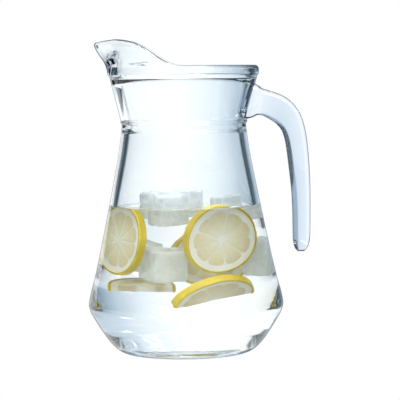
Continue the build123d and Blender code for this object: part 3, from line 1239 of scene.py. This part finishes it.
# %% Cards that glow
def panel(name, size, place, turn, shader_maker, seen_by_camera=False):
    """A flat board that glows and casts no shadow."""
    mesh = bpy.data.meshes.new(name)
    w, h = size[0] / 2, size[1] / 2
    mesh.from_pydata([(-w, -h, 0), (w, -h, 0), (w, h, 0), (-w, h, 0)], [], [(0, 1, 2, 3)])
    board = placed(mesh, name)
    board.location = place
    board.rotation_euler = [math.radians(a) for a in turn]
    material, tree = new_material(name + "_surface")
    finish_material(tree, shader_maker(tree))
    mesh.materials.append(material)
    board.visible_camera = seen_by_camera
    board.visible_shadow = False
    return board


def side_to_side(tree, tones, strength):
    """Glow that changes with X only, over the middle metre of the board."""
    place = add_node(tree, "ShaderNodeTexCoord").outputs["Object"]
    across = add_node(tree, "ShaderNodeSeparateXYZ", Vector=place).outputs["X"]
    share = add_node(tree, "ShaderNodeMapRange", Value=across, From_Min=-0.5, From_Max=0.5)
    tone = add_node(tree, "ShaderNodeValToRGB", stops=tones, Fac=share.outputs[0]).outputs[0]
    return add_node(tree, "ShaderNodeEmission", Color=tone, Strength=strength).outputs[0]


# %% Card behind the jug, in metres
CARD = (1.3, 0.56)
CARD_DEPTH = 0.42
CARD_GLOW = 1.18
CARD_TONES = [(0.49, "#FFFFFF"), (0.56, "#E6ECF1"), (0.61, "#C9D5E0")]
CARD_TONES += [(0.7, "#AFC0CE"), (0.82, "#93A7B8")]
FLAG_TONE = "#46555F"
FLAG_MIDDLE = 0.015
FLAG_BAND = (-0.24, -0.15)
FLAG_GAPS = (0.62, 0.25)
FLAG_BLUR = 0.02


def back_card(tree):
    """The card's glow between two flags, whose gap narrows upwards through the band."""
    glow = side_to_side(tree, CARD_TONES, CARD_GLOW)
    place = add_node(tree, "ShaderNodeTexCoord").outputs["Object"]
    axes = add_node(tree, "ShaderNodeSeparateXYZ", Vector=place).outputs
    width = add_node(
        tree,
        "ShaderNodeMapRange",
        {"interpolation_type": "SMOOTHSTEP"},
        Value=axes["Y"],
        From_Min=FLAG_BAND[0],
        From_Max=FLAG_BAND[1],
        To_Min=FLAG_GAPS[0],
        To_Max=FLAG_GAPS[1],
    ).outputs[0]
    subtract, size_only = {"operation": "SUBTRACT"}, {"operation": "ABSOLUTE"}
    shifted = add_node(tree, "ShaderNodeMath", subtract, _0=axes["X"], _1=FLAG_MIDDLE).outputs[0]
    out = add_node(tree, "ShaderNodeMath", size_only, _0=shifted).outputs[0]
    spare = add_node(tree, "ShaderNodeMath", subtract, _0=width, _1=out).outputs[0]
    share = add_node(
        tree, "ShaderNodeMapRange", Value=spare, From_Min=-FLAG_BLUR, From_Max=FLAG_BLUR
    ).outputs[0]
    tone = to_linear(FLAG_TONE)
    flag = add_node(tree, "ShaderNodeEmission", Color=tone, Strength=1.0).outputs[0]
    return add_node(tree, "ShaderNodeMixShader", Fac=share, _1=flag, _2=glow).outputs[0]


panel("back_card", CARD, (0.0, CARD_DEPTH, CARD[1] / 2), (90, 0, 0), back_card)

# %% Floor, in metres
FLOOR_SIZE = (4.0, 4.0)
FLOOR_DROP = 0.0003
FLOOR_GLOW = 1.1
FLOOR_TONES = [(0.49, "#FFFFFF"), (0.56, "#E3EAF0"), (0.65, "#C6D3DE"), (0.85, "#A3B5C4")]


def pale_floor(tree):
    """Plain white for the camera, and toned like the card for what the glass shows."""
    ray = add_node(tree, "ShaderNodeLightPath").outputs["Is Camera Ray"]
    glow = side_to_side(tree, FLOOR_TONES, FLOOR_GLOW)
    plain = add_node(tree, "ShaderNodeEmission", Color=WHITE, Strength=1.0).outputs[0]
    return add_node(tree, "ShaderNodeMixShader", Fac=ray, _1=glow, _2=plain).outputs[0]


flat, under_jug = (0, 0, 0), (0, 0, -FLOOR_DROP)
floor = panel("pale_floor", FLOOR_SIZE, under_jug, flat, pale_floor, seen_by_camera=True)

# %% [markdown]
# Lemon and milky ice scatter light, so they need light that falls on them. A sun would
# leave hard shadows, and one lamp a dark side. Three soft windows, the left one the
# brightest, shape them and put small glints on the glass.

# %% Lamps, in metres and watts
LAMP_SIZE = 0.7
JUG_MIDDLE = Vector((0, 0, 0.1))
WINDOWS = {
    "key_window": ((-0.5, -0.75, 1.15), 24.0),
    "fill_window": ((0.5, -0.75, 1.1), 16.0),
    "top_window": ((0.0, 0.1, 1.3), 14.0),
}
for name, (place, power) in WINDOWS.items():
    lamp = bpy.data.lights.new(name, "AREA")
    lamp.size = LAMP_SIZE
    lamp.energy = power
    stand = placed(lamp, name)
    stand.location = place
    stand.rotation_euler = (JUG_MIDDLE - Vector(place)).to_track_quat("-Z", "Y").to_euler()
print("windows", len(WINDOWS))

# %% [markdown]
# The photograph was taken from about the rim's height, some 1.4 metres away, with the
# camera turned a little, so that the jug leans by under a degree. A camera can be framed
# by eye, but these few numbers say what it saw: how far, how high, what it was aimed at,
# and how wide the picture is at the jug. The lens follows from them.

# %% Camera, in metres and degrees
DISTANCE = 1.4
EYE_HEIGHT = 0.200
LOOK_AT = Vector((0.0103, 0.0, 0.1032))
FRAME_WIDTH = 0.272
ROLL = 0.7
SENSOR_WIDTH = 36
eye = bpy.data.cameras.new("eye")
eye_object = placed(eye, "eye")
eye_object.location = (LOOK_AT.x, -DISTANCE, EYE_HEIGHT)
line_of_sight = LOOK_AT - eye_object.location
level = line_of_sight.to_track_quat("-Z", "Y").to_matrix()
rolled = level @ Matrix.Rotation(math.radians(-ROLL), 3, "Z")
eye_object.rotation_euler = rolled.to_euler()
eye.lens = SENSOR_WIDTH / (FRAME_WIDTH / line_of_sight.length)
bpy.context.scene.camera = eye_object
bpy.context.scene.view_settings.view_transform = "Standard"
print("lens", round(eye.lens, 1))

# %% [markdown]
# A look through the jug meets four faces of its wall, and light is turned back inside
# the glass many more times. A low limit of bounces leaves black patches, and a high one
# washes out the dark lines of the rim, so this one lies between. The water's clear sides
# are counted apart, and their limit is higher, since light passes them at every turn.

# %% Light paths
paths = bpy.context.scene.cycles
paths.transparent_max_bounces = 48
paths.max_bounces = 17
paths.transmission_bounces = 17
print("bounces", paths.max_bounces)
